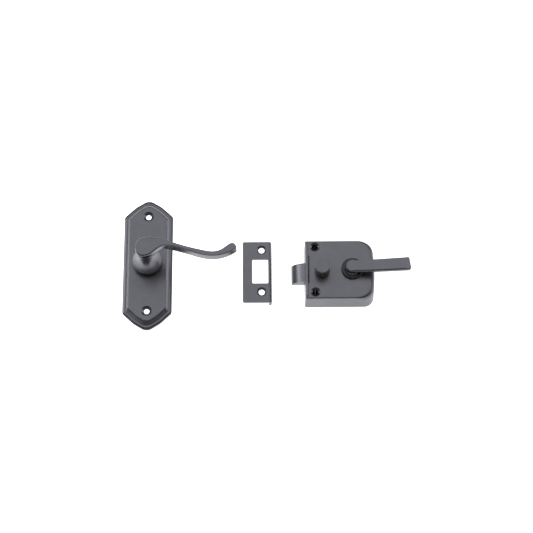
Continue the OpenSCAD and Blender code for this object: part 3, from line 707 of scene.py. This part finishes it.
def make_inside_lever():
    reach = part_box("inside_lever")[1][0] / MM - HUB_AT[0]
    bar_z, bar_t, rise, bend_x = 28.3, 4.2, 4.5, 12
    corners = [(reach, -6.2, 1.9), (reach - 1.6, 6.0, 1.7), (-5.2, 4.8, 3.8), (-5.2, -6.2, 3.9)]
    outline = rounded(corners, 16, 30)
    left = min(range(len(outline)), key=lambda i: (round(outline[i].x, 2), abs(outline[i].y + 1.4)))
    tip = min(range(len(outline)), key=lambda i: (-round(outline[i].x, 2), abs(outline[i].y)))
    upper, lower = halves(outline, left, tip, 110)

    def base_at(x):
        blend = 5
        t = min(max((x - bend_x + blend) / (2 * blend), 0.0), 1.0)
        slope = rise / (reach - bend_x)
        return bar_z + slope * (blend * t * t + max(x - bend_x - blend, 0.0))

    def level(inset, height):
        return lambda x, halfw: (min(inset, 0.6 * halfw),) * 2 + (base_at(x) + height,)

    f, lower_f, edge_h = 0.7, 1.5, 1.9

    def edge(a):
        def at(x, halfw):
            along = smooth(-4, 3, x) * (1 - smooth(reach - 6, reach - 2, x))
            wide, high = f + (lower_f - f) * along, f + (edge_h - f) * along
            insets = [min(w, 0.45 * halfw) * (1 - math.cos(a)) for w in (f, wide)]
            return *insets, base_at(x) + bar_t - high * (1 - math.sin(a))
        return at

    levels = [level(1.1, 0), level(0.5, 0), level(0.12, 0.12), level(0, 0.5)]
    levels += [edge(math.radians(15 * k)) for k in range(7)]
    levels.append(level(2.2, bar_t))
    lever = strip("inside_lever_body", upper, lower, levels, HUB_AT)
    profile = path([(0, 17.6, 0), (6, 17.6, 0), (6, 18.4, 0), (5.2, 18.4, 0), (5.2, 19.2, 0), (6, 19.2, 0),
                    (6, 24.9, 0), (6.9, 24.9, 0.2), (6.9, 25.6, 0.4), (6.3, 26.6, 1.2), (6.2, 29.2, 0),
                    (0, 29.2, 0)])
    combine(lever, "UNION", [lathe("hub", profile, HUB_AT)])
    grub = laid_over(rod("cutter", 1.5, 3, 11, steps=40), HUB_AT, 26.6, -math.pi / 2, "X")
    half = SOCKET_HALF
    socket = box_solid("cutter", (-half, -half, 17), (half, half, 28.6), HUB_AT)
    combine(lever, "DIFFERENCE", [socket, grub])
    finish_piece(lever, BLACK["black_lever"], "inside_lever_body", "black_lever", "inside_lever")


def make_latch_bolt():
    tip_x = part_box("latch_bolt")[0][0] / MM - HUB_AT[0]
    z0, z1 = z_range("latch_bolt")
    rear_x, nose_r = -30, 14
    nose_z = z1 - nose_r
    nose_x = tip_x + math.sqrt(nose_r ** 2 - (z0 - nose_z) ** 2)
    start = math.atan2(z0 - nose_z, tip_x - nose_x)
    nose_steps = 28
    angles = [start + (math.pi / 2 - start) * k / nose_steps for k in range(nose_steps + 1)]
    nose = [(nose_x + nose_r * math.cos(a), nose_z + nose_r * math.sin(a)) for a in angles]
    section = [(rear_x, z0), (tip_x + 0.02, z0)] + nose + [(rear_x, z1)]
    bolt = extrude_y("latch_bolt_body", section, BOLT_HALF, HUB_AT)
    tail = box_solid("tail", (rear_x - 0.5, -7, 6.5), (rear_x + 10, 7, 8.2), HUB_AT)
    combine(bolt, "UNION", [tail])
    soften(bolt, 0.3, 3)
    pin_at = beside(HUB_AT, rear_x - 14, 0)
    pin = laid_over(rod("cutter", 1.3, 0, 15, steps=32), pin_at, 12, math.pi / 2, "Y")
    rivets = [rod("cutter", 1.25, 5, 10, beside(HUB_AT, -24.5, s * 5), 32) for s in (-1, 1)]
    combine(bolt, "DIFFERENCE", [pin] + rivets)
    finish_piece(bolt, BLACK["black_bolt"], "bolt_body", "black_bolt", "latch_bolt")


def make_snib_button():
    z0, z1 = z_range("snib_button")
    r, flange_r, stem_r, pin_r, stem_z = 6.6, 7.8, 4.4, 1.55, 29
    profile = path([
        (pin_r, stem_z, 0), (stem_r, stem_z, 0), (stem_r, z0, 0), (flange_r, z0, 0.1),
        (flange_r, z0 + 1, 0.1), (r, z0 + 1, 0.1), (r, z1, 0.55), (r - 1.3, z1 - 0.02, 0), (0, z1, 0)], 5)
    profile = [Vector((0, stem_z + 2)), Vector((pin_r, stem_z + 2))] + profile
    button = lathe("snib_button_body", profile, BUTTON_AT)
    finish_piece(button, BLACK["black_button"], "snib_body", "black_button", "snib_button")


brass = bare_metal("brass_ring", (0.13, 0.09, 0.05), (0.3, 0.42))
make_outside_plate()
make_outside_rose()
make_outside_lever()
make_strike()
make_latch_case()
make_lever_collar()
make_button_collar(brass)
make_inside_lever()
make_latch_bolt()
make_snib_button()

# ------------------------------------------------------------- CAD nodes that keep their shape

zinc = bare_metal("zinc_sheet", (0.5, 0.5, 0.52), (0.3, 0.5), (1, 12, 12))
steel = bare_metal("steel_screws", (0.56, 0.55, 0.54), (0.22, 0.4))
wire = bare_metal("spring_wire", (0.6, 0.6, 0.62), (0.15, 0.3))
bright = bare_metal("bright_steel", (0.56, 0.56, 0.58), (0.2, 0.36), (12, 12, 1))
cast_iron = bare_metal("cast_follower", (0.3, 0.3, 0.3), (0.45, 0.65), bump=0.00004)
oxide = satin_black("black_hardware", tone=0.05, rough=(0.3, 0.45), edge_highlight=0.3, metallic=0.9)
nylon = moulded_nylon("nylon_washer", (0.72, 0.71, 0.66))

KEPT = {
    "case_back_plate": zinc, "button_keeper_plate": zinc, "bolt_yoke": zinc,
    "back_plate_screws": steel, "keeper_screws": steel, "spring_guide_pin": steel, "yoke_rivets": steel,
    "button_spring": wire, "bolt_spring": wire, "follower_spring": wire,
    "inside_lever_shank": bright, "snib_pin": bright, "spindle": bright,
    "inside_lever_grub_screw": oxide, "inside_lever_circlip": oxide,
    "outside_lever_circlip": oxide, "spindle_grub_screw": oxide,
    "follower": cast_iron, "outside_lever_washer": nylon,
}
for node, material in KEPT.items():
    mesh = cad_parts[node].data
    mesh.materials.clear()
    mesh.materials.append(material)

# ------------------------------------------------------------- camera

CAMERA_DISTANCE = 1.35
CAMERA_ELEVATION = math.radians(69)
CAMERA_ROLL = -0.0078
CAMERA_X, CAMERA_Y = 0.00085, -0.0016
CAMERA_REACH = 20
PIXELS_PER_METRE = 1080.0
IMAGE_SIDE = 533

camera = bpy.data.objects.new("camera", bpy.data.cameras.new("camera"))
bpy.context.scene.collection.objects.link(camera)
camera.location = (CAMERA_X, CAMERA_Y - CAMERA_DISTANCE * math.cos(CAMERA_ELEVATION),
                   CAMERA_DISTANCE * math.sin(CAMERA_ELEVATION))
camera.rotation_euler = (Matrix.Rotation(math.pi / 2 - CAMERA_ELEVATION, 3, "X")
                         @ Matrix.Rotation(CAMERA_ROLL, 3, "Z")).to_euler()
camera.data.lens = PIXELS_PER_METRE * CAMERA_DISTANCE / IMAGE_SIDE * camera.data.sensor_width
camera.data.clip_end = CAMERA_REACH
bpy.context.scene.camera = camera

# ------------------------------------------------------------- floor and light

bpy.context.scene.view_settings.view_transform = "Standard"

FLOOR_HALF, FLOOR_Z = 12.0, -0.0003


def flat_sheet(name, middle, half_w, half_h, z):
    """Flat sheet of the set, which isn't part of the object."""
    mesh = bpy.data.meshes.new(name)
    x, y = middle
    mesh.from_pydata([(x - half_w, y - half_h, z), (x + half_w, y - half_h, z),
                      (x + half_w, y + half_h, z), (x - half_w, y + half_h, z)], [], [(0, 1, 2, 3)])
    obj = bpy.data.objects.new(name, mesh)
    bpy.context.scene.collection.objects.link(obj)
    return obj


floor = flat_sheet("floor", (0, 0), FLOOR_HALF, FLOOR_HALF, FLOOR_Z)
paper, paper_nodes, paper_links, paper_shader = node_material("white_paper")
paper_shader.inputs["Base Color"].default_value = (0.5, 0.5, 0.5, 1)
paper_shader.inputs["Roughness"].default_value = 0.9
paper_shader.inputs["Emission Color"].default_value = (1, 1, 1, 1)
# The paper glows more towards the left, as if lit from there
across = paper_nodes.new("ShaderNodeSeparateXYZ")
paper_links.new(paper_nodes.new("ShaderNodeTexCoord").outputs["Object"], across.inputs["Vector"])
glow = paper_nodes.new("ShaderNodeMapRange")
for socket, value in (("From Min", -0.14), ("From Max", 0.07), ("To Min", 2.3), ("To Max", 1.3)):
    glow.inputs[socket].default_value = value
paper_links.new(across.outputs["X"], glow.inputs["Value"])
paper_links.new(glow.outputs["Result"], paper_shader.inputs["Emission Strength"])
floor.data.materials.append(paper)

# Painted shade: a dark sheet under the case, so that its screw bores look into shade
case_middle = ((case_lo[0] + case_hi[0]) / 2, (case_lo[1] + case_hi[1]) / 2)
painted_shade_sheet = flat_sheet("painted_shade_sheet", case_middle, 27 * MM, 24 * MM, FLOOR_Z / 2)
shade, _, _, shade_shader = node_material("painted_shade_material")
shade_shader.inputs["Base Color"].default_value = (0.05, 0.05, 0.05, 1)
painted_shade_sheet.data.materials.append(shade)

AMBIENT = 0.18
world = bpy.data.worlds.new("studio")
bpy.context.scene.world = world
world.use_nodes = True
background = world.node_tree.nodes["Background"]
background.inputs["Color"].default_value = (1, 1, 1, 1)
background.inputs["Strength"].default_value = AMBIENT


def softbox(name, position, size, radiance):
    """Rectangular light aimed at the origin, as bright as radiance all over its face."""
    light = bpy.data.lights.new(name, "AREA")
    light.shape = "RECTANGLE"
    light.size, light.size_y = size
    light.energy = radiance * math.pi * size[0] * size[1]
    obj = bpy.data.objects.new(name, light)
    bpy.context.scene.collection.objects.link(obj)
    obj.location = position
    obj.rotation_euler = (-Vector(position)).to_track_quat("-Z", "Y").to_euler()
    obj.visible_camera = False


softbox("overhead", (0, 0.75, 1.9), (2.6, 1.9), 1.45)
softbox("left", (-1.75, 0.55, 1.3), (0.9, 1.3), 4.6)
softbox("right", (2.0, 0.5, 0.75), (1.5, 1.3), 2.2)
